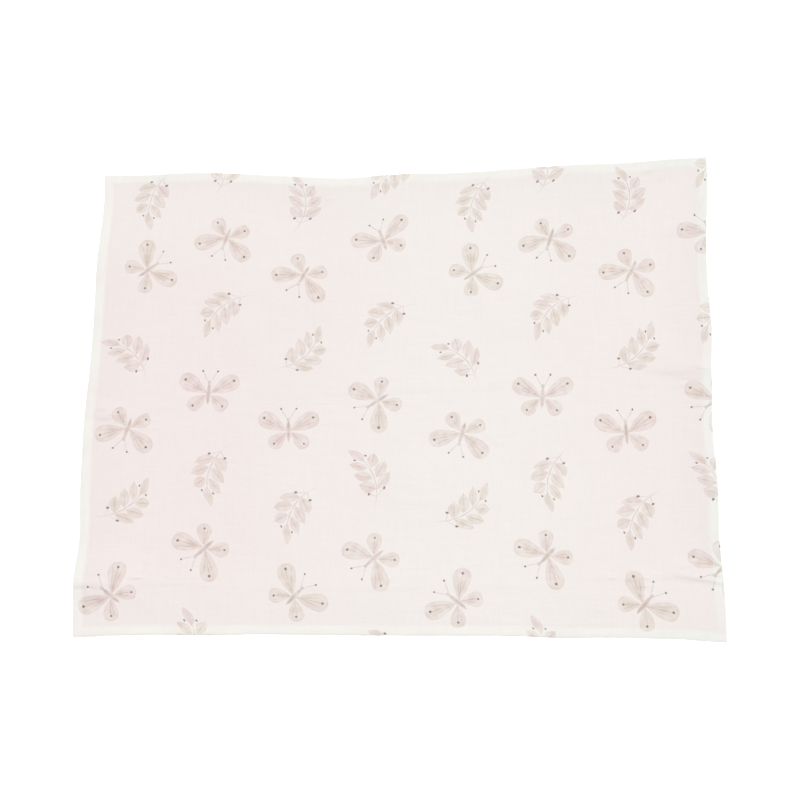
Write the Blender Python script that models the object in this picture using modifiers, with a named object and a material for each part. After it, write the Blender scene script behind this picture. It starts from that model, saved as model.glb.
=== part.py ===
"""Swaddle blanket: one sheet of thin cotton gauze with a turned hem, laid out flat.

Metres, +Z up. X runs along the long side and Y along the short side.
The origin lies under the middle of the cloth, on the surface that the cloth rests on.
"""

from collections import namedtuple
import math

import bpy

# Driving dimensions.
LENGTH = 1.012            # long side of the hemmed cloth
DEPTH = 0.7775            # short side of the hemmed cloth
FIELD_THICKNESS = 0.0016  # the gauze by itself, with its crinkle
HEM_THICKNESS = 0.0028    # three layers of gauze, pressed and sewn
EDGE_THICKNESS = 0.0014   # the outermost line of the hem, where the cloth turns round
LEFT_HEM = 0.0160         # width of the hem on each side
RIGHT_HEM = 0.0168
BOTTOM_HEM = 0.0150
TOP_HEM = 0.0168
HEM_STEP = 0.0015         # width of the slope between hem and field
EDGE_ROUND = 0.0015       # width of the rounded outer edge

# Spacing of the sheet's lines, which are closer together where a fold lies.
COLUMN_SPACING = 0.024
ROW_SPACING = 0.024
LEAST_SPACING = 0.006
LINES_IN_HALF_FOLD = 2

# The lines along each edge, counted inwards: the edge itself, the hem's two, then the field's.
EDGE_LINE = 0
LAST_HEM_LINE = 2

MILLIMETRE = 0.001

# How far each corner lies outside the corner of a true rectangle, in millimetres.
Corner = namedtuple("Corner", "side end out_x out_y")
CORNERS = (
    Corner(side=-1, end=-1, out_x=6.9, out_y=-4.6),
    Corner(side=+1, end=-1, out_x=-7.7, out_y=9.1),
    Corner(side=-1, end=+1, out_x=-7.1, out_y=-6.7),
    Corner(side=+1, end=+1, out_x=8.3, out_y=6.4),
)

# How far each edge bows out of the straight line between its corners, in millimetres.
# "at" is the share of the way along the edge, from the left or from the bottom.
Bow = namedtuple("Bow", "at out")
BOTTOM_EDGE = (
    Bow(0.00, 0.0), Bow(0.03, -1.0), Bow(0.10, -4.1), Bow(0.23, -4.8), Bow(0.29, -6.7),
    Bow(0.36, -6.4), Bow(0.52, -6.5), Bow(0.68, -7.1), Bow(0.76, -4.7), Bow(0.81, -5.7),
    Bow(0.93, -4.4), Bow(0.96, -2.0), Bow(1.00, 0.0),
)
TOP_EDGE = (
    Bow(0.00, 0.0), Bow(0.07, -2.0), Bow(0.12, -0.6), Bow(0.17, -1.0), Bow(0.24, -5.8),
    Bow(0.31, -12.0), Bow(0.40, -18.6), Bow(0.48, -14.9), Bow(0.53, -13.4), Bow(0.58, -14.5),
    Bow(0.69, -10.2), Bow(0.79, -6.7), Bow(0.85, -6.6), Bow(0.94, -1.3), Bow(1.00, 0.0),
)
LEFT_EDGE = (
    Bow(0.00, 0.0), Bow(0.05, 2.0), Bow(0.12, 3.8), Bow(0.19, 0.0), Bow(0.23, 0.4),
    Bow(0.29, 3.6), Bow(0.42, 5.6), Bow(0.47, 5.2), Bow(0.58, 1.8), Bow(0.70, 1.4),
    Bow(0.80, 1.8), Bow(0.93, -2.8), Bow(1.00, 0.0),
)
RIGHT_EDGE = (
    Bow(0.00, 0.0), Bow(0.05, 0.1), Bow(0.12, -1.9), Bow(0.19, -4.8), Bow(0.30, -4.3),
    Bow(0.43, -8.6), Bow(0.51, -6.1), Bow(0.55, -6.0), Bow(0.60, -3.4), Bow(0.65, -3.7),
    Bow(0.73, -6.3), Bow(0.84, -5.4), Bow(0.90, -1.0), Bow(0.95, 0.5), Bow(1.00, 0.0),
)

# Folds left from the way the cloth was put away: low ridges, highest at the middle of each.
# Places and reaches are in metres, heights in millimetres, turns in degrees from the X axis.
Fold = namedtuple("Fold", "x y reach half_width height turn")
FOLDS = (
    Fold(x=-0.474, y=-0.020, reach=0.064, half_width=0.022, height=1.7, turn=-3),
    Fold(x=0.456, y=0.054, reach=0.086, half_width=0.038, height=3.2, turn=-5),
    Fold(x=0.455, y=-0.286, reach=0.072, half_width=0.022, height=2.0, turn=-8),
    Fold(x=0.350, y=-0.290, reach=0.088, half_width=0.014, height=0.7, turn=0),
    Fold(x=-0.480, y=-0.275, reach=0.078, half_width=0.055, height=3.4, turn=2),
    Fold(x=-0.380, y=-0.292, reach=0.090, half_width=0.016, height=0.7, turn=0),
    Fold(x=-0.020, y=-0.300, reach=0.420, half_width=0.018, height=0.6, turn=0),
    Fold(x=0.470, y=0.272, reach=0.060, half_width=0.016, height=1.0, turn=4),
    Fold(x=-0.020, y=0.014, reach=0.380, half_width=0.020, height=0.5, turn=2),
)
FOLD_LEAN = -0.5          # a fold's crest lies nearer to its lower side, by this share of its half width

# Broad places where the cloth stands a little off the surface, in metres and millimetres.
Swell = namedtuple("Swell", "x y reach_x reach_y height")
SWELLS = (
    Swell(x=-0.455, y=-0.300, reach_x=0.090, reach_y=0.062, height=2.0),
    Swell(x=-0.500, y=0.230, reach_x=0.070, reach_y=0.120, height=2.0),
    Swell(x=-0.100, y=0.350, reach_x=0.170, reach_y=0.070, height=2.2),
    Swell(x=0.320, y=0.370, reach_x=0.130, reach_y=0.060, height=1.8),
    Swell(x=0.478, y=0.100, reach_x=0.052, reach_y=0.056, height=1.8),
    Swell(x=0.490, y=-0.140, reach_x=0.060, reach_y=0.120, height=2.0),
    Swell(x=0.120, y=-0.370, reach_x=0.160, reach_y=0.050, height=1.8),
    Swell(x=0.470, y=-0.340, reach_x=0.066, reach_y=0.056, height=2.2),
    Swell(x=-0.220, y=0.160, reach_x=0.150, reach_y=0.090, height=1.6),
    Swell(x=0.200, y=0.150, reach_x=0.160, reach_y=0.080, height=1.6),
    Swell(x=0.060, y=-0.150, reach_x=0.190, reach_y=0.080, height=1.6),
)

CLOTH_COLOUR = (0.900, 0.845, 0.820, 1.0)
CLOTH_ROUGHNESS = 0.92


def bow_out(edge, at):
    """The edge's bow in metres at a share of its way: a smooth curve through the table's rows."""
    last = len(edge) - 1
    k = min(sum(1 for row in edge if row.at <= at) - 1, last - 1)

    def slope(n):
        before = edge[max(n - 1, 0)]
        after = edge[min(n + 1, last)]
        return (after.out - before.out) / (after.at - before.at)

    here, there = edge[k], edge[k + 1]
    span = there.at - here.at
    u = (at - here.at) / span
    value = (
        (2 * u ** 3 - 3 * u ** 2 + 1) * here.out
        + (u ** 3 - 2 * u ** 2 + u) * span * slope(k)
        + (3 * u ** 2 - 2 * u ** 3) * there.out
        + (u ** 3 - u ** 2) * span * slope(k + 1)
    )
    return value * MILLIMETRE


def corner_point(side, end):
    """One corner of the cloth: side is -1 at the left, end is -1 at the bottom."""
    corner = next(c for c in CORNERS if (c.side, c.end) == (side, end))
    x = side * (LENGTH / 2 + corner.out_x * MILLIMETRE)
    y = end * (DEPTH / 2 + corner.out_y * MILLIMETRE)
    return x, y


def cloth_point(s, t):
    """Where the cloth's point (s, t) lies, both from 0 to 1, between its four uneven edges."""
    low_left = corner_point(-1, -1)
    low_right = corner_point(+1, -1)
    top_left = corner_point(-1, +1)
    top_right = corner_point(+1, +1)
    x, y = (
        (1 - t) * ((1 - s) * low_left[k] + s * low_right[k])
        + t * ((1 - s) * top_left[k] + s * top_right[k])
        for k in (0, 1)
    )
    x += s * bow_out(RIGHT_EDGE, t) - (1 - s) * bow_out(LEFT_EDGE, t)
    y += t * bow_out(TOP_EDGE, s) - (1 - t) * bow_out(BOTTOM_EDGE, s)
    return x, y


def hump(u, lean=0.0):
    """A smooth hump from -1 to 1 with its crest at lean, and exactly flat outside."""
    v = (u - lean) / (1 + lean if u < lean else 1 - lean)
    return (1 - v * v) ** 2 if abs(v) < 1 else 0.0


def rise(x, y):
    """How far the underside stands off the surface at a place on it."""
    height = 0.0
    for fold in FOLDS:
        turn = math.radians(fold.turn)
        along = (x - fold.x) * math.cos(turn) + (y - fold.y) * math.sin(turn)
        across = (y - fold.y) * math.cos(turn) - (x - fold.x) * math.sin(turn)
        height += fold.height * hump(along / fold.reach) * hump(across / fold.half_width, FOLD_LEAN)
    for swell in SWELLS:
        away = math.hypot((x - swell.x) / swell.reach_x, (y - swell.y) / swell.reach_y)
        height += swell.height * hump(away)
    return height * MILLIMETRE


def hem_lines(hem_width):
    """The lines that shape one hem, as distances inwards from the edge."""
    return [0.0, EDGE_ROUND, hem_width, hem_width + HEM_STEP]


def sheet_lines(length, low_hem, high_hem, spacing, wanted):
    """All lines across a side: the hems', evenly spaced ones, and the wanted ones with room."""
    lines = hem_lines(low_hem) + [length - distance for distance in hem_lines(high_hem)]
    start = low_hem + HEM_STEP
    end = length - high_hem - HEM_STEP
    count = round((end - start) / spacing)
    even = [start + (end - start) * k / count for k in range(1, count)]
    for line in wanted + even:
        if start < line < end and all(abs(line - other) >= LEAST_SPACING for other in lines):
            lines.append(line)
    return sorted(lines)


def fold_rows():
    """Rows that run along each fold, at its crest and on its flanks."""
    rows = []
    for fold in FOLDS:
        for k in range(-LINES_IN_HALF_FOLD, LINES_IN_HALF_FOLD + 1):
            rows.append(fold.y + DEPTH / 2 + k * fold.half_width / LINES_IN_HALF_FOLD)
    return rows


def thickness_share(column, row, columns, rows):
    """The share of the hem's thickness at a crossing of two lines, counted from the edge."""
    from_edge = min(column, row, columns - column, rows - row)
    if from_edge == EDGE_LINE:
        return EDGE_THICKNESS / HEM_THICKNESS
    if from_edge <= LAST_HEM_LINE:
        return 1.0
    return FIELD_THICKNESS / HEM_THICKNESS


def cloth_material():
    material = bpy.data.materials.new("cotton_gauze")
    material.use_nodes = True
    shader = material.node_tree.nodes["Principled BSDF"]
    shader.inputs["Base Color"].default_value = CLOTH_COLOUR
    shader.inputs["Roughness"].default_value = CLOTH_ROUGHNESS
    shader.inputs["Metallic"].default_value = 0.0
    material.diffuse_color = CLOTH_COLOUR
    return material


def build_blanket(collection):
    """One grid laid to the cloth's lines, given its thickness upwards from the underside."""
    column_lines = sheet_lines(LENGTH, LEFT_HEM, RIGHT_HEM, COLUMN_SPACING, [])
    row_lines = sheet_lines(DEPTH, BOTTOM_HEM, TOP_HEM, ROW_SPACING, fold_rows())
    columns = len(column_lines) - 1
    rows = len(row_lines) - 1
    bpy.ops.mesh.primitive_grid_add(x_subdivisions=columns, y_subdivisions=rows, size=1)
    blanket = bpy.context.object
    blanket.name = "blanket"
    blanket.data.name = "blanket"
    thickness = blanket.vertex_groups.new(name="thickness")

    places = []
    for vertex in blanket.data.vertices:
        column = round((vertex.co.x + 0.5) * columns)
        row = round((vertex.co.y + 0.5) * rows)
        places.append(cloth_point(column_lines[column] / LENGTH, row_lines[row] / DEPTH))
        share = thickness_share(column, row, columns, rows)
        thickness.add([vertex.index], share, "REPLACE")

    middle = [(min(p[k] for p in places) + max(p[k] for p in places)) / 2 for k in (0, 1)]
    for vertex, (x, y) in zip(blanket.data.vertices, places):
        vertex.co = (x - middle[0], y - middle[1], rise(x, y))

    solid = blanket.modifiers.new("cloth thickness", "SOLIDIFY")
    solid.thickness = HEM_THICKNESS
    solid.offset = 1.0
    solid.vertex_group = thickness.name
    solid.use_even_offset = False

    blanket.data.shade_smooth()
    blanket.data.materials.append(cloth_material())
    for other in list(blanket.users_collection):
        other.objects.unlink(blanket)
    collection.objects.link(blanket)
    return blanket


for old in list(bpy.data.objects):
    bpy.data.objects.remove(old)
swaddle_blanket = bpy.data.collections.new("swaddle_blanket")
bpy.context.scene.collection.children.link(swaddle_blanket)
build_blanket(swaddle_blanket)
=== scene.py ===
import math

import bmesh
import bpy
import numpy as np
from mathutils import Matrix, Vector, noise


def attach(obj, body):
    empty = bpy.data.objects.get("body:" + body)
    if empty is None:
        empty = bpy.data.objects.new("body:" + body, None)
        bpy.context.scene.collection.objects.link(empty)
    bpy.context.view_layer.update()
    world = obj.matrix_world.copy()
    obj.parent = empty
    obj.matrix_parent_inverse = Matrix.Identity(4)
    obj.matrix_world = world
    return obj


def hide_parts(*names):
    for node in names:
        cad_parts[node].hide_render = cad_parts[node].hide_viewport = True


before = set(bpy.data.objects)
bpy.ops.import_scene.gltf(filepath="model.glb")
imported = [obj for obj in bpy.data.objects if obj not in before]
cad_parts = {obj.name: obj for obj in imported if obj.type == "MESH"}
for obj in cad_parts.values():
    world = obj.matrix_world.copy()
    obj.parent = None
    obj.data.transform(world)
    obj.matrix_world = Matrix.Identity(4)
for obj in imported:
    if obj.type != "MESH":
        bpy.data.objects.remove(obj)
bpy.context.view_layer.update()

scene = bpy.context.scene
mm = 0.001


# the hemmed cloth as it lies: metres, and millimetres where a name ends in Mm
cloth = {
    "length": 1.012,
    "depth": 0.7775,
    "cell": 0.0052,              # spacing of the mesh's lines in the field
    "fineCell": 0.0015,          # and in the bands where the sharpest creases run
    "fineBands": [(-0.308, 0.052), (-0.004, 0.056)],     # middle and half width of each in y
    "hemWidth": 0.0150,          # the width that the hem's section is drawn for
    "hemSides": {"left": 0.0160, "right": 0.0168, "bottom": 0.0150, "top": 0.0168},
    "cornersMm": {               # how far each corner lies outside a true rectangle's
        (-1, -1): (6.9, -4.6),
        (1, -1): (-7.7, 9.1),
        (-1, 1): (-7.1, -6.7),
        (1, 1): (8.3, 6.4),
    },
    "puckerMm": 0.30,            # how far the edge wanders between stitches
    "puckerLength": 0.024,
    "puckerReachMm": 20.0,       # it dies out this far from the edge
    "puckerLift": 0.6,           # share of it that also lifts the face
    "puckerSlice": 5.5,          # pucker, crinkle and wrinkles each read their own slices of the noise
    "crinkleMm": 0.55,
    "crinkleLong": 0.034,
    "crinkleShort": 0.013,
    "crinkleFromMm": 1.0,        # it starts this far from the edge
    "crinkleReachMm": 28.0,      # and has its full height from here inwards
    "crinkleLeast": 0.35,        # share of it that the hem keeps
    "crinkleSlices": (3.1, 8.7),
    "wrinkleMm": 0.30,           # short fine wrinkles in the bands
    "wrinkleLong": 0.026,
    "wrinkleShort": 0.0050,
    "wrinkleLeast": 0.25,        # share of them in the middle of the cloth
    "wrinkleSides": (0.18, 0.4925),      # how far to the sides they start and stop growing
    "wrinkleSlice": 1.9,
    "foldLean": -0.50,           # a fold's crest lies nearer to its lower side
    "creaseLean": -0.55,
    "creaseHigh": 0.72,          # share of the table's heights that the sharp creases stand
    "creaseShade": 0.050,        # painted shade: how much darker their steep sides look, for each millimetre
    "creaseShadeMostMm": 1.5,
    "creaseShadeAt": -0.70,      # middle and half width of that shade, in the crease's half widths
    "creaseShadeWidth": 0.62,
}

# how far each edge bows out of its straight line: share of the way along it, millimetres outwards
edgeBows = {
    "bottom": [(0.00, 0.0), (0.03, -1.0), (0.10, -4.1), (0.23, -4.8), (0.29, -6.7), (0.36, -6.4),
               (0.52, -6.5), (0.68, -7.1), (0.76, -4.7), (0.81, -5.7), (0.93, -4.4), (0.96, -2.0),
               (1.00, 0.0)],
    "top": [(0.00, 0.0), (0.07, -2.0), (0.12, -0.6), (0.17, -1.0), (0.24, -5.8), (0.31, -12.0),
            (0.40, -18.6), (0.48, -14.9), (0.53, -13.4), (0.58, -14.5), (0.69, -10.2), (0.79, -6.7),
            (0.85, -6.6), (0.94, -1.3), (1.00, 0.0)],
    "left": [(0.00, 0.0), (0.05, 2.0), (0.12, 3.8), (0.19, 0.0), (0.23, 0.4), (0.29, 3.6),
             (0.42, 5.6), (0.47, 5.2), (0.58, 1.8), (0.70, 1.4), (0.80, 1.8), (0.93, -2.8),
             (1.00, 0.0)],
    "right": [(0.00, 0.0), (0.05, 0.1), (0.12, -1.9), (0.19, -4.8), (0.30, -4.3), (0.43, -8.6),
              (0.51, -6.1), (0.55, -6.0), (0.60, -3.4), (0.65, -3.7), (0.73, -6.3), (0.84, -5.4),
              (0.90, -1.0), (0.95, 0.5), (1.00, 0.0)],
}

# hem and field in section, in millimetres: distance from the edge, heights of face and underside
hemSection = [
    (0.0, 1.90, 0.80), (0.1, 2.08, 0.60), (0.3, 2.20, 0.35), (0.7, 2.30, 0.12), (1.4, 2.39, 0.00),
    (3.2, 2.48, 0.00), (6.0, 2.56, 0.00), (9.5, 2.58, 0.00), (11.6, 2.53, 0.00),
    (12.6, 2.41, 0.06), (13.6, 2.47, 0.00), (14.7, 2.40, 0.00), (15.7, 2.22, 0.35),
    (17.2, 1.98, 0.45), (19.6, 1.79, 0.38), (23.0, 1.59, 0.20), (28.0, 1.40, 0.00),
]

# folds that the cloth was put away in: x, y, reach, half width (m), height (mm), turn (degrees)
softFolds = [
    (-0.474, -0.020, 0.064, 0.022, 1.7, -3),
    (0.456, 0.054, 0.086, 0.038, 3.2, -5),
    (0.455, -0.286, 0.072, 0.022, 2.0, -8),
    (0.350, -0.290, 0.088, 0.014, 0.7, 0),
    (-0.480, -0.275, 0.078, 0.055, 3.4, 2),
    (-0.380, -0.292, 0.090, 0.016, 0.7, 0),
    (-0.020, -0.300, 0.420, 0.018, 0.6, 0),
    (0.470, 0.272, 0.060, 0.016, 1.0, 4),
    (-0.020, 0.014, 0.380, 0.020, 0.5, 2),
]

# places where it stands a little off the surface: x, y, reach along x and y (m), height (mm)
swells = [
    (-0.455, -0.300, 0.090, 0.062, 2.0),
    (-0.500, 0.230, 0.070, 0.120, 2.0),
    (-0.100, 0.350, 0.170, 0.070, 2.2),
    (0.320, 0.370, 0.130, 0.060, 1.8),
    (0.478, 0.100, 0.052, 0.056, 1.8),
    (0.490, -0.140, 0.060, 0.120, 2.0),
    (0.120, -0.370, 0.160, 0.050, 1.8),
    (0.470, -0.340, 0.066, 0.056, 2.2),
    (-0.220, 0.160, 0.150, 0.090, 1.6),
    (0.200, 0.150, 0.160, 0.080, 1.6),
    (0.060, -0.150, 0.190, 0.080, 1.6),
]

# sharp little creases, in the same columns as the folds
fineCreases = [
    # middle of the left edge
    (-0.4824, -0.0207, 0.016, 0.0045, 0.9, 0),
    (-0.4784, -0.0352, 0.018, 0.0050, 1.0, 0),
    (-0.4650, -0.0316, 0.016, 0.0035, 0.6, 0),
    (-0.4580, -0.0413, 0.014, 0.0038, 0.8, 0),
    # middle of the right edge
    (0.4820, 0.0364, 0.026, 0.0060, 0.9, -8),
    (0.4330, 0.0291, 0.026, 0.0055, 0.4, -4),
    (0.4640, 0.0199, 0.034, 0.0060, 0.6, -3),
    (0.4560, 0.0080, 0.022, 0.0070, 0.4, 0),
    # lower right
    (0.4500, -0.2955, 0.042, 0.0068, 0.7, -8),
    (0.4720, -0.3010, 0.026, 0.0056, 0.6, -7),
    (0.3753, -0.3099, 0.024, 0.0035, 0.9, 0),
    (0.3759, -0.2977, 0.010, 0.0035, 0.8, 0),
    (0.4127, -0.2980, 0.010, 0.0035, 0.8, 0),
    (0.3266, -0.2972, 0.010, 0.0038, 0.8, 0),
    (0.3272, -0.2855, 0.010, 0.0030, 0.5, 0),
    (0.3384, -0.2764, 0.010, 0.0030, 0.5, 2),
    (0.4383, -0.2815, 0.010, 0.0032, 0.6, 0),
    (0.4866, -0.2935, 0.012, 0.0040, 1.2, -8),
    (0.4889, -0.3057, 0.012, 0.0040, 0.9, -8),
    (0.3010, -0.3220, 0.012, 0.0030, 0.5, 0),
    # lower left
    (-0.5030, -0.2980, 0.017, 0.0115, 1.4, 0),
    (-0.4780, -0.2980, 0.030, 0.0085, 0.6, 0),
    (-0.4820, -0.3120, 0.036, 0.0210, 0.8, 0),
    (-0.4619, -0.3161, 0.009, 0.0040, 1.0, 0),
    (-0.4156, -0.2917, 0.015, 0.0040, 1.3, 0),
    (-0.3652, -0.2913, 0.010, 0.0030, 0.5, 0),
    (-0.3242, -0.2916, 0.009, 0.0030, 0.5, 0),
    (-0.3081, -0.3054, 0.010, 0.0032, 0.8, 0),
    (-0.4079, -0.3265, 0.010, 0.0030, 0.7, 0),
    (-0.4077, -0.3327, 0.010, 0.0030, 0.7, 0),
    (-0.3947, -0.3417, 0.010, 0.0032, 0.8, 0),
    (-0.2625, -0.3059, 0.011, 0.0030, 0.6, 0),
    # along the top and down the right edge
    (0.4157, 0.3730, 0.016, 0.0060, 0.8, 14),
    (0.4349, 0.3610, 0.012, 0.0060, 0.8, 0),
    (-0.1151, 0.3320, 0.014, 0.0060, 0.6, 0),
    (0.3900, 0.3400, 0.020, 0.0060, 0.5, 0),
    (0.4870, 0.2780, 0.020, 0.0060, 0.9, -3),
    (0.4930, 0.3115, 0.014, 0.0080, 0.8, 88),
    (-0.4300, 0.3180, 0.020, 0.0080, 0.5, 86),
]


def smoothRead(rows, at):
    # a smooth curve through (place, value) rows, read at every place in at
    places, values = (np.array(column, float) for column in zip(*rows))
    last = len(rows) - 1
    before, after = np.r_[0, np.arange(last)], np.r_[np.arange(1, last + 1), last]
    slopes = (values[after] - values[before]) / (places[after] - places[before])
    k = np.clip(np.searchsorted(places, at, side="right") - 1, 0, last - 1)
    span = places[k + 1] - places[k]
    u = (at - places[k]) / span
    return ((2 * u ** 3 - 3 * u ** 2 + 1) * values[k]
            + (u ** 3 - 2 * u ** 2 + u) * span * slopes[k]
            + (3 * u ** 2 - 2 * u ** 3) * values[k + 1]
            + (u ** 3 - u ** 2) * span * slopes[k + 1])


def hump(u, lean=0.0):
    # a soft ridge's section from -1 to 1, with its crest at lean
    side = np.where(u < lean, 1 + lean, 1 - lean)
    v = (u - lean) / side
    return np.where(np.abs(v) < 1, (1 - v * v) ** 2, 0.0)


def noiseAt(x, y, z):
    # one value of smooth noise for each place
    return np.array([noise.noise(Vector((a, b, z))) for a, b in zip(x, y)])


def layOut(s, t):
    # where the cloth's points (s, t), from 0 to 1, lie between the four uneven edges
    half = (cloth["length"] / 2, cloth["depth"] / 2)
    corner = {}
    for (side, end), (outX, outY) in cloth["cornersMm"].items():
        corner[side, end] = (side * (half[0] + outX * mm), end * (half[1] + outY * mm))
    x, y = (
        (1 - t) * ((1 - s) * corner[-1, -1][k] + s * corner[1, -1][k])
        + t * ((1 - s) * corner[-1, 1][k] + s * corner[1, 1][k])
        for k in (0, 1)
    )
    x = x + mm * (s * smoothRead(edgeBows["right"], t) - (1 - s) * smoothRead(edgeBows["left"], t))
    y = y + mm * (t * smoothRead(edgeBows["top"], s) - (1 - t) * smoothRead(edgeBows["bottom"], s))
    return x, y


def foldPlace(fold, x, y):
    # where places lie on a fold, as shares of its reach and of its half width, and its height
    foldX, foldY, reach, halfWidth, high, turn = fold
    cosine, sine = math.cos(math.radians(turn)), math.sin(math.radians(turn))
    along = ((x - foldX) * cosine + (y - foldY) * sine) / reach
    across = ((y - foldY) * cosine - (x - foldX) * sine) / halfWidth
    return along, across, high


def foldHeight(x, y):
    # millimetres that the folds, creases, wrinkles and swells lift the cloth
    height = np.zeros_like(x)
    kinds = (
        (softFolds, cloth["foldLean"], 1.0),
        (fineCreases, cloth["creaseLean"], cloth["creaseHigh"]),
    )
    for folds, lean, share in kinds:
        for fold in folds:
            along, across, high = foldPlace(fold, x, y)
            height += share * high * hump(along) * hump(across, lean)
    for swellX, swellY, reachX, reachY, high in swells:
        height += high * hump(np.hypot((x - swellX) / reachX, (y - swellY) / reachY))
    wrinkles = 0.5 + noiseAt(x / cloth["wrinkleLong"], y / cloth["wrinkleShort"], cloth["wrinkleSlice"])
    nearSides = np.interp(np.abs(x), cloth["wrinkleSides"], (cloth["wrinkleLeast"], 1.0))
    for middle, halfWidth in cloth["fineBands"]:
        height += cloth["wrinkleMm"] * wrinkles * nearSides * hump((y - middle) / halfWidth)
    return height


def hemScales():
    # what turns a distance from each side into one on the hem's section: left, right, bottom, top
    return [cloth["hemWidth"] / cloth["hemSides"][side] for side in ("left", "right", "bottom", "top")]


def creasePaintedShade(x, y):
    # painted shade: how much darker the colour is on the steep sides of the sharp creases
    shade = np.zeros_like(x)
    for fold in fineCreases:
        along, across, high = foldPlace(fold, x, y)
        off = (across - cloth["creaseShadeAt"]) / cloth["creaseShadeWidth"]
        shade += high * hump(along) * hump(off)
    return 1 - cloth["creaseShade"] * np.clip(shade, 0, cloth["creaseShadeMostMm"])


def clothSurface(s, t):
    # x, y and the heights of the underside and the face, in metres, for points (s, t) of the cloth
    x, y = layOut(s, t)
    length, depth = cloth["length"], cloth["depth"]
    left, right, bottom, top = hemScales()
    fromLeft, fromRight = s * length * left, (1 - s) * length * right
    fromBottom, fromTop = t * depth * bottom, (1 - t) * depth * top
    fromEdge = np.minimum.reduce([fromLeft, fromRight, fromBottom, fromTop]) / mm
    distances, faceHeights, underHeights = zip(*hemSection)
    face = np.interp(fromEdge, distances, faceHeights)
    under = np.interp(fromEdge, distances, underHeights)

    # crinkle both ways, less of it on the hem
    long, short = cloth["crinkleLong"], cloth["crinkleShort"]
    sliceLong, sliceShort = cloth["crinkleSlices"]
    crinkle = noiseAt(x / long, y / short, sliceLong) + noiseAt(x / short, y / long, sliceShort)
    inside = np.clip(fromEdge / cloth["crinkleReachMm"], cloth["crinkleLeast"], 1.0)
    crinkle = cloth["crinkleMm"] * (0.5 + 0.5 * crinkle) * inside
    lift = foldHeight(x, y) + crinkle * np.clip(fromEdge - cloth["crinkleFromMm"], 0, 1)

    # pucker, which moves the edge in and out and lifts the face
    wave = cloth["puckerLength"]
    pucker = cloth["puckerMm"] * noiseAt(x / wave, y / wave, cloth["puckerSlice"])
    nearEdge = np.clip(1 - fromEdge / cloth["puckerReachMm"], 0, 1)
    x = x + mm * pucker * nearEdge * np.sign(s - 0.5)
    y = y + mm * pucker * nearEdge * np.sign(t - 0.5)
    face = face + lift + pucker * nearEdge * cloth["puckerLift"]
    return x, y, mm * (under + lift), mm * face


def clothLines(size, scales, bands=()):
    # the mesh's lines across one side as shares of it: close over both hems and in the bands
    near, far = ([row[0] * mm / scale for row in hemSection] for scale in scales)
    samples = 4001
    way = np.linspace(near[-1], size - far[-1], samples)
    perMetre = np.full_like(way, 1 / cloth["cell"])
    for middle, halfWidth in bands:
        share = hump((way - size / 2 - middle) / halfWidth)
        perMetre += share * (1 / cloth["fineCell"] - 1 / cloth["cell"])
    passed = np.r_[0, np.cumsum(perMetre[1:] * np.diff(way))]
    count = round(passed[-1])
    field = np.interp(np.arange(1, count) * passed[-1] / count, passed, way)
    return np.r_[near, field, [size - d for d in reversed(far)]] / size


def deselectAll():
    bpy.ops.object.select_all(action="DESELECT")


def pickOnly(thing):
    deselectAll()
    thing.select_set(True)
    bpy.context.view_layer.objects.active = thing


def makeCloth():
    print("cloth: sheet, hem, folds and crinkle")
    sLines = clothLines(cloth["length"], hemScales()[:2])
    tLines = clothLines(cloth["depth"], hemScales()[2:], cloth["fineBands"])
    columns, rows = len(sLines) - 1, len(tLines) - 1
    deselectAll()
    bpy.ops.mesh.primitive_grid_add(x_subdivisions=columns, y_subdivisions=rows, size=1)
    sheet = bpy.context.object
    sheet.name = sheet.data.name = "gauzeSheet"
    mesh = sheet.data
    flat = np.empty(len(mesh.vertices) * 3)
    mesh.vertices.foreach_get("co", flat)
    flat = flat.reshape(-1, 3)
    s = sLines[np.rint((flat[:, 0] + 0.5) * columns).astype(int)]
    t = tLines[np.rint((flat[:, 1] + 0.5) * rows).astype(int)]
    x, y, under, face = clothSurface(s, t)
    middle = [(v.min() + v.max()) / 2 for v in (x, y)]      # of its box, which goes to the origin
    mesh.vertices.foreach_set("co", np.stack([x - middle[0], y - middle[1], under], 1).ravel())

    # the cloth's own flat coordinates, which the weave and the print follow
    mesh.uv_layers[0].name = "clothMap"
    corners = np.empty(len(mesh.loops), int)
    mesh.loops.foreach_get("vertex_index", corners)
    mesh.uv_layers["clothMap"].data.foreach_set("uv", np.stack([s[corners], t[corners]], 1).ravel())

    # painted shade for the creases' steep sides, kept on each point for the material
    pointCreaseShade = mesh.attributes.new("creasePaintedShade", "FLOAT", "POINT")
    pointCreaseShade.data.foreach_set("value", creasePaintedShade(x, y))

    thickness = sheet.vertex_groups.new(name="thickness")
    most = float((face - under).max())
    for k, share in enumerate((face - under) / most):
        thickness.add([k], float(share), "REPLACE")
    mesh.materials.append(gauzeMaterial("gauzeFace", False))
    mesh.materials.append(gauzeMaterial("gauzeBack", True))
    pickOnly(sheet)
    solid = sheet.modifiers.new("thickness", "SOLIDIFY")
    solid.thickness = most
    solid.offset = 1.0
    solid.vertex_group = thickness.name
    solid.material_offset = 1
    bpy.ops.object.modifier_apply(modifier=solid.name)
    bpy.ops.object.shade_smooth()
    layBakeMap(sheet)
    return sheet, middle


# the layout of the map for baked pictures, as shares of the picture's height
bakeMap = {
    "gap": 0.012,                # between the face and the underside
    "backHigh": 0.185,           # the underside is squeezed to this
    "rimFrom": 0.972,            # and the rim is in a thin strip for each side
    "rimStrip": 0.006,
    "rimFilled": 0.7,            # share of a strip that is used
}


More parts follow.
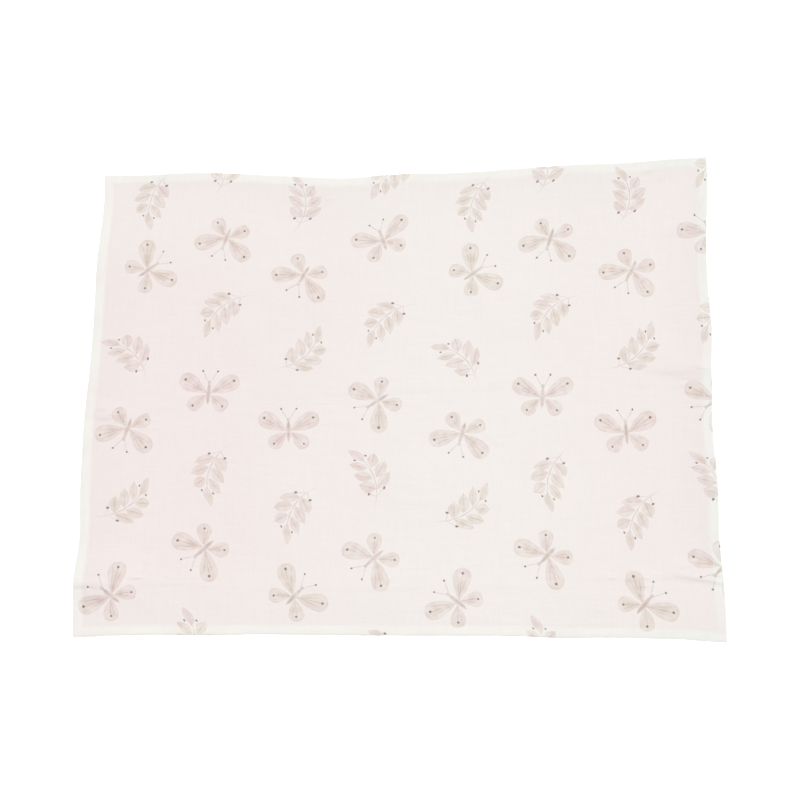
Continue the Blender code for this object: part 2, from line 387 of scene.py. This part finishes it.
def layBakeMap(sheet):
    # a second map with no overlap: the face large, the underside squeezed, the rim in thin strips
    mesh = sheet.data
    bake = mesh.uv_layers.new(name="OFBake")
    flat = mesh.uv_layers["clothMap"].data
    faceHigh = cloth["depth"] / cloth["length"]
    backFrom = faceHigh + bakeMap["gap"]
    faceCount = len(mesh.vertices) // 2      # the face's points come before the underside's
    for polygon in mesh.polygons:
        onFace = [k < faceCount for k in polygon.vertices]
        for corner, top in zip(polygon.loop_indices, onFace):
            s, t = flat[corner].uv
            if all(onFace):
                place = (s, t * faceHigh)
            elif not any(onFace):
                place = (s, backFrom + t * bakeMap["backHigh"])
            else:
                across = abs(polygon.normal.y) > abs(polygon.normal.x)
                along, strip = (s, 2 * (t > 0.5)) if across else (t, 1 + 2 * (s > 0.5))
                filled = bakeMap["rimFilled"] if top else 0
                place = (along, bakeMap["rimFrom"] + (strip + filled) * bakeMap["rimStrip"])
            bake.data[corner].uv = place


# the gauze's colours and finish, with its painted shade and painted light, and lengths in metres
look = {
    "blush": (0.8190, 0.7475, 0.7300),
    "ivory": (0.8225, 0.7825, 0.7575),
    "cloudScale": 6.0,                       # they meet in soft clouds
    "cloudShift": 0.42,
    "ivoryFrom": (0.19, 0.56),               # ivory comes in along these shares of the length
    "ivoryTo": (0.66, 0.96),                 # and goes out along these
    "rightBlush": 0.68,                      # how far the right side goes back to blush
    "blushRow": 0.45,                        # share of the depth where blush is strongest
    "blushFade": (0.22, 0.56),               # it fades this far above and below that
    "blushLeast": 0.45,                      # down to this share
    "hem": (0.8540, 0.8310, 0.7880),
    "hemOuter": (0.8320, 0.8270, 0.7830),    # towards its outer side
    "hemOuterReach": (0.0020, 0.0110),
    "hemGrey": (0.966, 0.983, 0.995),        # towards the right side it is less warm
    "hemGreyFrom": (0.70, 0.97),
    "hemUneven": (0.55, 1.00),               # how much of the hem's paleness shows, in patches
    "hemPatchScale": 14.0,
    "hemPatchRange": (0.35, 0.60),
    "hemFadeFace": (0.0030, 0.0040),         # the turned cloth shows softly through the face
    "hemFadeBack": (0.0003, 0.0005),         # and has a sharp edge on the back
    "paintedFoldLight": (0.9400, 0.9400, 0.9200),    # painted light: paler where light comes through the outer fold
    "paintedFoldLightReach": (0.0004, 0.0027),
    "paintedShadeByHem": 0.984,                   # painted shade near the hem, where the cloth stands off the surface
    "paintedShadeByHemReach": 0.075,
    "paintedStepShade": 0.987,                       # and painted shade that is darkest just inside the left and lower hems
    "paintedStepShadeInside": 0.0025,
    "paintedStepShadeWidth": 0.0075,
    "showThrough": 0.32,                     # how much of the print is seen on the back
    "showThroughStep": 0.0001,
    "slubScales": (14.0, 520.0),             # noise along a thread and across it
    "slubRange": 0.3,
    "slubTone": 0.050,
    "slubHigh": 0.00016,
    "threadPitch": 0.00078,
    "weaveHigh": 0.00003,
    "crinkleScale": 110.0,
    "crinkleHigh": 0.0006,
    "bumpStrength": 0.6,
    "roughness": 0.93,
    "roughnessDrift": 0.04,                  # how much smoother a thick thread is
    "sheen": 0.03,
    "sheenRoughness": 0.6,
    "specular": 0.15,
}

# how the print is painted: an edge is metres inwards from a shape's outline
paint = {
    "inkBeige": (0.775, 0.710, 0.605),       # what the inks leave of the cloth's colour
    "inkBlush": (0.820, 0.690, 0.660),
    "inkLine": (0.52, 0.42, 0.38),
    "inkDot": (0.22, 0.165, 0.15),
    "tintDrift": 3.2,                        # how freely a wash runs from one ink to the other
    "washStrength": 0.62,
    "washEdge": (-0.0005, 0.0009),
    "poolScale": 75.0,                       # small pools of thicker and thinner wash
    "poolRange": (0.32, 0.70),
    "poolDensity": (0.40, 0.98),
    "bloomScale": 34.0,                      # and larger blooms, which break its rims and depths
    "grainScale": 620.0,
    "grainRange": (0.3, 0.7),
    "grain": 0.16,
    "rimDarker": 0.34,
    "rimEdge": (0.0026, 0.0008),
    "rimBlooms": (0.35, 0.62),
    "rimLeast": 0.25,
    "deepStrength": 0.34,
    "deepEdge": (-0.0012, 0.0026),
    "deepBlooms": (0.64, 0.40),
    "deepLeast": 0.2,
    "lineStrength": 0.42,
    "lineEdge": (-0.0004, 0.0003),
    "linePools": (0.25, 0.60),
    "lineLeast": 0.35,
    "dotStrength": 0.80,
    "dotEdge": (-0.0004, 0.0004),
}

# the print's repeat: columns of figures, every other column dropped by half a step
repeat = {
    "columnStep": 0.1350,
    "rowStep": 0.1330,
    "columnsInRepeat": 4,
    "rowsInRepeat": 3,
    "wander": 0.010,             # how far a figure is set off its place
    "wobble": 0.0026,            # how far its painted edges wander
    "wobbleScale": 110.0,
    "skew": 1.1,                 # degrees that the print is turned on the cloth
    "sprigBend": 7.0,            # how much a sprig's stem curves
    "wingSpread": (0.45, 0.85),  # how a wing widens from its root, and how wide it is halfway
    "wingLeast": 0.1,
}

# the figures: shape, x, y, half length, half width (mm), turn (degrees)
# x is folded about a figure's middle line, so each row is drawn on both sides
butterfly = {
    "wash": [("wing", 26.0, 14.8, 25.0, 15.2, 30), ("wing", 17.5, -14.0, 17.0, 12.8, -42),
             ("oval", 0, 1, 4.4, 17.0, 0)],
    "deep": [("wing", 19.0, 10.6, 17.5, 7.6, 30), ("wing", 12.6, -10.0, 11.5, 6.4, -42)],
    "line": [("oval", 0, 0.5, 2.0, 17.5, 0), ("oval", 0, 19.5, 2.9, 3.1, 0),
             ("oval", 7.0, 29.0, 10.0, 0.6, 60), ("oval", 23.5, 13.3, 20.0, 0.55, 30),
             ("oval", 21.3, 17.5, 18.0, 0.45, 44), ("oval", 22.3, 9.0, 16.5, 0.45, 18),
             ("oval", 15.4, -11.8, 13.3, 0.5, -42), ("oval", 12.8, -13.8, 10.6, 0.4, -60)],
    "dot": [("oval", 12.1, 38.0, 1.6, 1.6, 0), ("oval", 39.5, 23.3, 2.0, 2.0, 0),
            ("oval", 24.0, -20.3, 1.7, 1.7, 0)],
}

# leaf sprigs, drawn the same way and bent afterwards
sprig = {
    "wash": [("leaf", 14.0, -16.0, 15.0, 8.8, 34), ("leaf", 15.0, 2.5, 15.5, 8.6, 36),
             ("leaf", 12.5, 21.0, 13.5, 7.8, 44), ("leaf", 0, 39.5, 14.0, 7.6, 90)],
    "deep": [("leaf", 14.8, -18.0, 13.0, 4.2, 34), ("leaf", 15.8, 0.5, 13.5, 4.2, 36),
             ("leaf", 13.6, 19.4, 11.5, 3.8, 44), ("leaf", 2.0, 38.0, 11.5, 3.2, 90)],
    "line": [("oval", 0, -5, 0.8, 40.0, 0), ("oval", 12.5, -16.5, 13.0, 0.5, 34),
             ("oval", 13.5, 2.0, 13.5, 0.5, 36), ("oval", 11.5, 20.5, 12.0, 0.45, 44),
             ("oval", 6.5, -31.5, 8.0, 0.45, 38)],
    "dot": [("oval", 13.2, -27.5, 2.1, 2.1, 0), ("oval", 9.5, 33.0, 1.6, 1.6, 0)],
}
printParts = ("wash", "deep", "line", "dot")


def addNode(tree, kind, inputs, **settings):
    # a node with its settings; each input, by number or name, is a value or an output to link
    node = tree.nodes.new(kind)
    for name, value in settings.items():
        setattr(node, name, value)
    for key, value in inputs.items():
        if isinstance(value, bpy.types.NodeSocket):
            tree.links.new(value, node.inputs[key])
        else:
            node.inputs[key].default_value = value
    return node


def mathOut(tree, operation, a, b=0.0, c=0.0, clamp=False):
    node = addNode(tree, "ShaderNodeMath", {0: a, 1: b, 2: c}, operation=operation, use_clamp=clamp)
    return node.outputs[0]


def productOut(tree, *values):
    # the product of two or more numbers
    product = values[0]
    for value in values[1:]:
        product = mathOut(tree, "MULTIPLY", product, value)
    return product


def vectorOut(tree, operation, a, b=(0, 0, 0)):
    node = addNode(tree, "ShaderNodeVectorMath", {0: a, 1: b}, operation=operation)
    return node.outputs["Value" if operation == "LENGTH" else "Vector"]


def joinOut(tree, x, y):
    return addNode(tree, "ShaderNodeCombineXYZ", {0: x, 1: y}).outputs[0]


def partsOut(tree, vector):
    return addNode(tree, "ShaderNodeSeparateXYZ", {0: vector}).outputs


def rangeOut(tree, value, low, high, toLow=0.0, toHigh=1.0, kind="SMOOTHSTEP"):
    node = addNode(tree, "ShaderNodeMapRange", {0: value, 1: low, 2: high, 3: toLow, 4: toHigh},
                   interpolation_type=kind, clamp=True)
    return node.outputs[0]


def noiseOut(tree, place, scale, detail=2.0, color=False):
    # scale is one number, or one for each axis
    if isinstance(scale, tuple):
        place, scale = vectorOut(tree, "MULTIPLY", place, scale), 1.0
    node = addNode(tree, "ShaderNodeTexNoise", {"Vector": place, "Scale": scale, "Detail": detail})
    return node.outputs["Color" if color else 0]


def mixOut(tree, amount, a, b, blend="MIX"):
    # a Mix node's colours are its inputs 6 and 7 and its output 2
    node = addNode(tree, "ShaderNodeMix", {0: amount, 6: a, 7: b}, data_type="RGBA", blend_type=blend)
    return node.outputs[2]


def rgba(color):
    return (*color, 1.0)


def startGroup(name, outputs):
    # an empty node group that takes a place and gives numbers: the group, the place and its end
    group = bpy.data.node_groups.new(name, "ShaderNodeTree")
    group.interface.new_socket("Place", in_out="INPUT", socket_type="NodeSocketVector")
    for out in outputs:
        group.interface.new_socket(out, in_out="OUTPUT", socket_type="NodeSocketFloat")
    place = group.nodes.new("NodeGroupInput").outputs[0]
    return group, place, group.nodes.new("NodeGroupOutput")


def shapesOut(tree, place, shapes):
    # how far inside the nearest of some shapes a place lies, in metres
    nearest = None
    for shape, x, y, halfLong, halfWide, turn in shapes:
        unit = addNode(tree, "ShaderNodeMapping", {
            "Vector": place, "Location": (x * mm, y * mm, 0), "Rotation": (0, 0, math.radians(turn)),
            "Scale": (halfLong * mm, halfWide * mm, 1)}, vector_type="TEXTURE").outputs[0]
        u, v = partsOut(tree, unit)[:2]
        if shape == "leaf":     # pointed at both ends
            away = mathOut(tree, "ADD", mathOut(tree, "MULTIPLY", u, u), mathOut(tree, "ABSOLUTE", v))
        else:
            if shape == "wing":     # narrow at the root and broad at the tip
                broad = mathOut(tree, "MULTIPLY_ADD", u, *repeat["wingSpread"])
                broad = mathOut(tree, "MAXIMUM", broad, repeat["wingLeast"])
                unit = joinOut(tree, u, mathOut(tree, "DIVIDE", v, broad))
            away = vectorOut(tree, "LENGTH", unit)
        small = min(halfLong, halfWide) * mm
        inside = mathOut(tree, "MULTIPLY_ADD", away, -small, small)
        nearest = inside if nearest is None else mathOut(tree, "MAXIMUM", nearest, inside)
    return nearest


def figureGroup(name, figure, bend):
    # draws one figure from a place counted from its middle
    group, place, end = startGroup(name, printParts)
    x, y = partsOut(group, place)[:2]
    x = mathOut(group, "MULTIPLY_ADD", mathOut(group, "MULTIPLY", y, y), bend, x)
    folded = joinOut(group, mathOut(group, "ABSOLUTE", x), y)
    for out in printParts:
        group.links.new(shapesOut(group, folded, figure[out]), end.inputs[out])
    return group


def printGroup():
    # the whole print, from the cloth's own coordinates in metres
    print("print: butterflies and sprigs")
    group, place, end = startGroup("print", printParts + ("tint",))
    turned = addNode(group, "ShaderNodeMapping", {
        "Vector": place, "Rotation": (0, 0, math.radians(repeat["skew"]))}).outputs[0]
    x, y = partsOut(group, turned)[:2]

    # which column and row a place is in, and where it lies in its cell
    across = mathOut(group, "DIVIDE", x, repeat["columnStep"])
    column = mathOut(group, "FLOOR", across)
    drop = mathOut(group, "MULTIPLY", mathOut(group, "FLOORED_MODULO", column, 2.0), 0.5)
    along = mathOut(group, "ADD", mathOut(group, "DIVIDE", y, repeat["rowStep"]), drop)
    row = mathOut(group, "FLOOR", along)
    local = vectorOut(group, "SUBTRACT", joinOut(group, across, along), joinOut(group, column, row))
    local = vectorOut(group, "SUBTRACT", local, (0.5, 0.5, 0))
    local = vectorOut(group, "MULTIPLY", local, (repeat["columnStep"], repeat["rowStep"], 0))

    # each figure of the repeat has its own turn, offset and tint, and its edges wander
    seat = joinOut(group, mathOut(group, "FLOORED_MODULO", column, float(repeat["columnsInRepeat"])),
                   mathOut(group, "FLOORED_MODULO", row, float(repeat["rowsInRepeat"])))
    chance = addNode(group, "ShaderNodeTexWhiteNoise", {"Vector": seat}, noise_dimensions="2D")
    wobble = noiseOut(group, turned, repeat["wobbleScale"], 4.0, color=True)
    for shift, most in ((chance.outputs["Color"], 2 * repeat["wander"]), (wobble, repeat["wobble"])):
        shift = vectorOut(group, "SUBTRACT", shift, (0.5, 0.5, 0.5))
        local = vectorOut(group, "ADD", local, vectorOut(group, "MULTIPLY", shift, (most, most, 0)))
    turn = mathOut(group, "MULTIPLY", chance.outputs["Value"], 2 * math.pi)
    rotated = addNode(group, "ShaderNodeVectorRotate", {"Vector": local, "Angle": turn},
                      rotation_type="Z_AXIS").outputs[0]

    # butterflies and sprigs take turns down each column
    kind = mathOut(group, "FLOORED_MODULO", mathOut(group, "ADD", row, column), 2.0)
    figures = []
    for name, figure, bend in (("butterfly", butterfly, 0.0), ("sprig", sprig, repeat["sprigBend"])):
        drawn = addNode(group, "ShaderNodeGroup", {}, node_tree=figureGroup(name, figure, bend))
        group.links.new(rotated, drawn.inputs[0])
        figures.append(drawn.outputs)
    for out in printParts:      # a Mix node's numbers are its inputs 2 and 3 and its output 0
        chosen = addNode(group, "ShaderNodeMix", {0: kind, 2: figures[0][out], 3: figures[1][out]},
                         data_type="FLOAT")
        group.links.new(chosen.outputs[0], end.inputs[out])
    group.links.new(chance.outputs["Value"], end.inputs["tint"])
    return group


def groundOut(tree, uv, place, fromEdge, hemFade):
    # ivory in the middle, blush towards both ends in soft clouds, the paler hem, and painted light
    # along the outer fold
    clouds = mathOut(tree, "SUBTRACT", noiseOut(tree, place, look["cloudScale"], 4.0), 0.5)
    s, t = partsOut(tree, uv)[:2]
    along = mathOut(tree, "MULTIPLY_ADD", clouds, look["cloudShift"], s)
    fromLeft = rangeOut(tree, along, *look["ivoryFrom"])
    fromRight = rangeOut(tree, along, *look["ivoryTo"], 1.0, 1.0 - look["rightBlush"])
    offRow = mathOut(tree, "ABSOLUTE", mathOut(tree, "SUBTRACT", t, look["blushRow"]))
    faded = rangeOut(tree, offRow, *look["blushFade"], 1.0, look["blushLeast"])
    blush = mathOut(tree, "SUBTRACT", 1.0, mathOut(tree, "MULTIPLY", fromLeft, fromRight))
    blush = mathOut(tree, "MULTIPLY", blush, faded)
    ground = mixOut(tree, blush, rgba(look["ivory"]), rgba(look["blush"]))
    hem = cloth["hemWidth"]
    onHem = rangeOut(tree, fromEdge, hem - hemFade[0], hem + hemFade[1], 1.0, 0.0)
    patches = noiseOut(tree, place, look["hemPatchScale"])
    uneven = rangeOut(tree, patches, *look["hemPatchRange"], *look["hemUneven"])
    inwards = rangeOut(tree, fromEdge, *look["hemOuterReach"])
    hemColor = mixOut(tree, inwards, rgba(look["hemOuter"]), rgba(look["hem"]))
    rightwards = rangeOut(tree, s, *look["hemGreyFrom"])
    hemColor = mixOut(tree, rightwards, hemColor, rgba(look["hemGrey"]), "MULTIPLY")
    ground = mixOut(tree, mathOut(tree, "MULTIPLY", onHem, uneven), ground, hemColor)
    # painted light along the outer fold, where light comes through
    onPaintedFoldLight = rangeOut(tree, fromEdge, *look["paintedFoldLightReach"], 1.0, 0.0)
    return mixOut(tree, onPaintedFoldLight, ground, rgba(look["paintedFoldLight"]))


def printedOut(tree, ground, place, share):
    # the ground with the print on it: soft washes that pool at their rims, then lines and dots
    design = addNode(tree, "ShaderNodeGroup", {}, node_tree=bpy.data.node_groups["print"])
    tree.links.new(place, design.inputs[0])
    design = design.outputs
    pools = noiseOut(tree, place, paint["poolScale"], 4.0)
    blooms = noiseOut(tree, place, paint["bloomScale"], 3.0)
    grain = noiseOut(tree, place, paint["grainScale"])
    grain = rangeOut(tree, grain, *paint["grainRange"], 1.0 - paint["grain"], 1.0)

    # the wash, thicker in pools, along its rim and in the deep shapes
    fill = rangeOut(tree, design["wash"], *paint["washEdge"])
    rim = rangeOut(tree, design["wash"], *paint["rimEdge"], 0.0, paint["rimDarker"])
    rimBroken = rangeOut(tree, blooms, *paint["rimBlooms"], paint["rimLeast"], 1.0)
    deep = rangeOut(tree, design["deep"], *paint["deepEdge"], 0.0, paint["deepStrength"])
    deepBroken = rangeOut(tree, blooms, *paint["deepBlooms"], paint["deepLeast"], 1.0)
    density = rangeOut(tree, pools, *paint["poolRange"], *paint["poolDensity"])
    density = mathOut(tree, "ADD", mathOut(tree, "MULTIPLY", rim, rimBroken), density)
    density = mathOut(tree, "ADD", density, mathOut(tree, "MULTIPLY", deep, deepBroken))
    wash = productOut(tree, fill, density, grain, paint["washStrength"])

    line = rangeOut(tree, design["line"], *paint["lineEdge"], 0.0, paint["lineStrength"])
    lineBroken = rangeOut(tree, pools, *paint["linePools"], paint["lineLeast"], 1.0)
    line = mathOut(tree, "MULTIPLY", line, lineBroken)
    dot = rangeOut(tree, design["dot"], *paint["dotEdge"], 0.0, paint["dotStrength"])
    drift = mathOut(tree, "SUBTRACT", blooms, 0.5)
    tint = mathOut(tree, "MULTIPLY_ADD", drift, paint["tintDrift"], design["tint"], clamp=True)
    ink = mixOut(tree, tint, rgba(paint["inkBeige"]), rgba(paint["inkBlush"]))
    color = ground
    for amount, leaves in ((wash, ink), (line, rgba(paint["inkLine"])), (dot, rgba(paint["inkDot"]))):
        amount = mathOut(tree, "MULTIPLY", amount, share, clamp=True)
        color = mixOut(tree, amount, color, leaves, "MULTIPLY")
    return color


def backPrintOuts(tree, uv, place, fromSides, fromEdge):
    # on the back the print only shows through, but the turned hem has its printed side out
    hem = cloth["hemWidth"]
    towardsEdge = vectorOut(tree, "SIGN", vectorOut(tree, "SUBTRACT", uv, (0.5, 0.5, 0)))
    turnedIn = vectorOut(tree, "SIGN", vectorOut(tree, "SUBTRACT", (hem, hem, 0), fromSides))
    turnedIn = vectorOut(tree, "MAXIMUM", turnedIn, (0, 0, 0))
    over = vectorOut(tree, "MULTIPLY", towardsEdge, fromSides)
    over = vectorOut(tree, "MULTIPLY", vectorOut(tree, "MULTIPLY", over, turnedIn), (2, 2, 0))
    step = look["showThroughStep"]
    share = rangeOut(tree, fromEdge, hem, hem + step, 1.0, look["showThrough"])
    return vectorOut(tree, "ADD", place, over), share


def threadToneAndPaintedShadeOut(tree, slubs, fromLow, fromEdge):
    # thread tone, times painted shade on the field near the hem, just inside the left and lower hems,
    # and on the creases' steep sides
    hem = cloth["hemWidth"]
    threads = mathOut(tree, "MULTIPLY_ADD", slubs, look["slubTone"], 1.0)
    # painted shade over the field near the hem
    paintedHemShade = rangeOut(tree, fromEdge, hem, hem + look["paintedShadeByHemReach"], look["paintedShadeByHem"], 1.0)
    # painted shade in a band just inside the left and lower hems
    fromLowEdge = mathOut(tree, "MINIMUM", *partsOut(tree, fromLow)[:2])
    offStep = mathOut(tree, "SUBTRACT", fromLowEdge, hem + look["paintedStepShadeInside"])
    offStep = mathOut(tree, "ABSOLUTE", offStep)
    step = rangeOut(tree, offStep, 0.0, look["paintedStepShadeWidth"], look["paintedStepShade"], 1.0)
    # painted shade on the creases' steep sides, read from the points
    paintedCreaseShadeFac = addNode(tree, "ShaderNodeAttribute", {}, attribute_name="creasePaintedShade").outputs["Fac"]
    return productOut(tree, threads, paintedHemShade, step, paintedCreaseShadeFac)


def weaveOut(tree, place, slubs):
    # weave, slubs and crinkle as bump
    wave = 2 * math.pi / look["threadPitch"]
    ways = partsOut(tree, place)[:2]
    warp, weft = (mathOut(tree, "SINE", mathOut(tree, "MULTIPLY", way, wave)) for way in ways)
    height = mathOut(tree, "MULTIPLY", mathOut(tree, "ADD", warp, weft), look["weaveHigh"])
    height = mathOut(tree, "MULTIPLY_ADD", slubs, look["slubHigh"], height)
    crinkle = noiseOut(tree, place, look["crinkleScale"], 4.0)
    height = mathOut(tree, "MULTIPLY_ADD", crinkle, look["crinkleHigh"], height)
    settings = {"Strength": look["bumpStrength"], "Distance": 1.0, "Height": height}
    return addNode(tree, "ShaderNodeBump", settings).outputs[0]


def gauzeMaterial(name, onBack):
    print("material:", name)
    material = bpy.data.materials.new(name)
    material.use_nodes = True
    tree = material.node_tree
    shader = tree.nodes["Principled BSDF"]
    size = (cloth["length"], cloth["depth"], 0)
    uv = addNode(tree, "ShaderNodeUVMap", {}, uv_map="clothMap").outputs[0]
    place = vectorOut(tree, "MULTIPLY", uv, size)

    # distances from the sides, scaled to the hem's section, and from the nearest side
    left, right, bottom, top = hemScales()
    fromLow = vectorOut(tree, "MULTIPLY", place, (left, bottom, 1))
    fromHigh = vectorOut(tree, "MULTIPLY", vectorOut(tree, "SUBTRACT", size, place), (right, top, 1))
    fromSides = vectorOut(tree, "MINIMUM", fromLow, fromHigh)
    fromEdge = mathOut(tree, "MINIMUM", *partsOut(tree, fromSides)[:2])

    # threads thicker and thinner both ways
    longScale, fineScale = look["slubScales"]
    slubX = noiseOut(tree, place, (longScale, fineScale, 1.0))
    slubY = noiseOut(tree, place, (fineScale, longScale, 1.0))
    slubs = mathOut(tree, "SUBTRACT", mathOut(tree, "ADD", slubX, slubY), 1.0)

    printPlace, printShare = place, 1.0
    if onBack:
        printPlace, printShare = backPrintOuts(tree, uv, place, fromSides, fromEdge)
    ground = groundOut(tree, uv, place, fromEdge, look["hemFadeBack" if onBack else "hemFadeFace"])
    color = printedOut(tree, ground, printPlace, printShare)
    # thread tone and painted shade darken the colour
    color = mixOut(tree, 1.0, color, threadToneAndPaintedShadeOut(tree, slubs, fromLow, fromEdge), "MULTIPLY")
    thick, rough, drift = look["slubRange"], look["roughness"], look["roughnessDrift"]
    roughness = rangeOut(tree, slubs, -thick, thick, rough + drift, rough - drift)
    tree.links.new(color, shader.inputs["Base Color"])
    tree.links.new(weaveOut(tree, place, slubs), shader.inputs["Normal"])
    tree.links.new(roughness, shader.inputs["Roughness"])
    shader.inputs["Sheen Weight"].default_value = look["sheen"]
    shader.inputs["Sheen Roughness"].default_value = look["sheenRoughness"]
    shader.inputs["Specular IOR Level"].default_value = look["specular"]
    return material


# one line of lock stitch along the hem's inner side, seen on the face and on the back
thread = {
    "fromEdge": 0.0126,
    "pitch": 0.0034,
    "length": 0.0031,            # of a stitch, so a gap stays between two
    "radius": 0.00026,
    "sunk": 0.00004,
    "sides": 6,
    "rings": 5,
    "color": (0.880, 0.865, 0.830),
    "plyScale": 2600.0,
    "plyRange": (0.3, 0.7),
    "plyTone": (0.86, 1.04),
    "bumpStrength": 0.5,
    "plyHigh": 0.0002,
    "roughness": 0.75,
    "sheen": 0.1,
}


def threadMaterial():
    material = bpy.data.materials.new("sewingThread")
    material.use_nodes = True
    tree = material.node_tree
    shader = tree.nodes["Principled BSDF"]
    place = addNode(tree, "ShaderNodeTexCoord", {}).outputs["Object"]
    ply = noiseOut(tree, place, thread["plyScale"], 1.0)
    tone = rangeOut(tree, ply, *thread["plyRange"], *thread["plyTone"])
    color = mixOut(tree, 1.0, rgba(thread["color"]), tone, "MULTIPLY")
    tree.links.new(color, shader.inputs["Base Color"])
    settings = {"Strength": thread["bumpStrength"], "Distance": thread["plyHigh"], "Height": ply}
    bump = addNode(tree, "ShaderNodeBump", settings)
    tree.links.new(bump.outputs[0], shader.inputs["Normal"])
    shader.inputs["Roughness"].default_value = thread["roughness"]
    shader.inputs["Sheen Weight"].default_value = thread["sheen"]
    return material


def seamPlaces(shift):
    # the middle and direction of every stitch, in metres on the cloth, once round the hem
    length, depth = cloth["length"], cloth["depth"]
    left, right, bottom, top = (thread["fromEdge"] / scale for scale in hemScales())
    across, along = length - left - right, depth - bottom - top
    runs = [
        ((left, bottom), (1, 0), across),
        ((length - right, bottom), (0, 1), along),
        ((length - right, depth - top), (-1, 0), across),
        ((left, depth - top), (0, -1), along),
    ]
    places = []
    for (x, y), (dx, dy), run in runs:
        count = round(run / thread["pitch"])
        for k in range(count):
            way = run * (k + shift) / count
            places.append((x + dx * way, y + dy * way, dx, dy))
    return np.array(places)


def sortFaces(mesh):
    # a new ball's faces come in any order, so they are sorted by their first two corners
    ball = bmesh.new()
    ball.from_mesh(mesh)
    count = len(ball.verts)
    ball.faces.sort(key=lambda face: face.verts[0].index * count + face.verts[1].index)
    ball.to_mesh(mesh)
    ball.free()


def makeSeam(name, onFace, shift, middle, material):
    # one stitch is modelled, and its copies are set along the hem in a single mesh
    print("seam:", name)
    places = seamPlaces(shift)
    half = thread["length"] / 2
    ends = []
    for sign in (-1, 1):
        s = (places[:, 0] + sign * half * places[:, 2]) / cloth["length"]
        t = (places[:, 1] + sign * half * places[:, 3]) / cloth["depth"]
        x, y, under, face = clothSurface(s, t)
        z = face - thread["sunk"] if onFace else under + thread["sunk"]
        ends.append(np.stack([x - middle[0], y - middle[1], z], 1))
    deselectAll()
    bpy.ops.mesh.primitive_uv_sphere_add(segments=thread["sides"], ring_count=thread["rings"], radius=1)
    seam = bpy.context.object
    seam.data.transform(Matrix.Rotation(math.pi / 2, 4, "Y"))
    sortFaces(seam.data)
    stitches = bmesh.new()
    for start, end in zip(*ends):
        start, end = Vector(start), Vector(end)
        alongStitch = end - start
        turn = alongStitch.to_track_quat("X", "Z").to_matrix().to_4x4()
        size = Matrix.Diagonal((alongStitch.length / 2, thread["radius"], thread["radius"], 1))
        copy = seam.data.copy()
        copy.transform(Matrix.Translation((start + end) / 2) @ turn @ size)
        stitches.from_mesh(copy)
        bpy.data.meshes.remove(copy)
    stitches.to_mesh(seam.data)
    stitches.free()
    seam.name = seam.data.name = name
    seam.data.materials.append(material)
    pickOnly(seam)
    bpy.ops.object.shade_smooth()
    return seam


studio = {
    "floorSize": 60.0,
    "floorZ": -0.0004,
    "floorColor": (0.96, 0.96, 0.96),
    "floorGlow": 0.62,
    "skyAtHorizon": 1.15,
    "skyOverhead": 0.773,
    "skyFade": (0.02, 0.6),      # heights between which it goes from one to the other
    "keyFrom": (0.40, 0.55, 0.90),
    "keySpread": 34,             # degrees
    "keyStrength": 1.14,
}

# found from the print's even repeat and the cloth's corners, for a 50 mm lens on a 36 mm frame
cameraView = {
    "place": (0.0503, -0.3693, 1.7513),
    "target": (0.0000, -0.0115, 0.0),
    "roll": -8.51,
    "lens": 50.0,
    "sensor": 36.0,
}


def makeFloor():
    deselectAll()
    bpy.ops.mesh.primitive_plane_add(size=studio["floorSize"], location=(0, 0, studio["floorZ"]))
    floor = bpy.context.object
    floor.name = "floor"
    material = bpy.data.materials.new("paleFloor")
    material.use_nodes = True
    shader = material.node_tree.nodes["Principled BSDF"]
    shader.inputs["Base Color"].default_value = rgba(studio["floorColor"])
    shader.inputs["Roughness"].default_value = 1.0
    shader.inputs["Specular IOR Level"].default_value = 0.0
    shader.inputs["Emission Color"].default_value = (1, 1, 1, 1)
    shader.inputs["Emission Strength"].default_value = studio["floorGlow"]
    floor.data.materials.append(material)


def makeLight():
    # an even white sky, brighter low down, and one soft key
    world = bpy.data.worlds.new("softStudio")
    world.use_nodes = True
    tree = world.node_tree
    background = tree.nodes["Background"]
    background.inputs["Color"].default_value = (1, 1, 1, 1)
    upwards = partsOut(tree, addNode(tree, "ShaderNodeTexCoord", {}).outputs["Generated"])[2]
    strength = rangeOut(tree, upwards, *studio["skyFade"],
                        studio["skyAtHorizon"], studio["skyOverhead"], "LINEAR")
    tree.links.new(strength, background.inputs["Strength"])
    scene.world = world
    key = bpy.data.objects.new("keyLight", bpy.data.lights.new("keyLight", "SUN"))
    key.data.angle = math.radians(studio["keySpread"])
    key.data.energy = studio["keyStrength"]
    key.rotation_euler = (-Vector(studio["keyFrom"])).to_track_quat("-Z", "Y").to_euler()
    scene.collection.objects.link(key)


def makeCamera():
    camera = bpy.data.objects.new("camera", bpy.data.cameras.new("camera"))
    camera.data.lens = cameraView["lens"]
    camera.data.sensor_width = cameraView["sensor"]
    place, target = Vector(cameraView["place"]), Vector(cameraView["target"])
    aim = (target - place).to_track_quat("-Z", "Y").to_matrix().to_4x4()
    roll = Matrix.Rotation(math.radians(cameraView["roll"]), 4, "Z")
    camera.matrix_world = Matrix.Translation(place) @ aim @ roll
    scene.collection.objects.link(camera)
    scene.camera = camera
    scene.view_settings.view_transform = "Standard"


print("studio: floor, light and camera")
makeFloor()
makeLight()
makeCamera()
printGroup()
sheet, middle = makeCloth()
threadLook = threadMaterial()

# stitches on the back lie half a pitch away from those on the face
seamFace = makeSeam("seamFace", True, 0.5, middle, threadLook)
seamBack = makeSeam("seamBack", False, 0.0, middle, threadLook)

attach(sheet, "root")
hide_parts("blanket")
for seam in (seamFace, seamBack):
    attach(seam, "root")
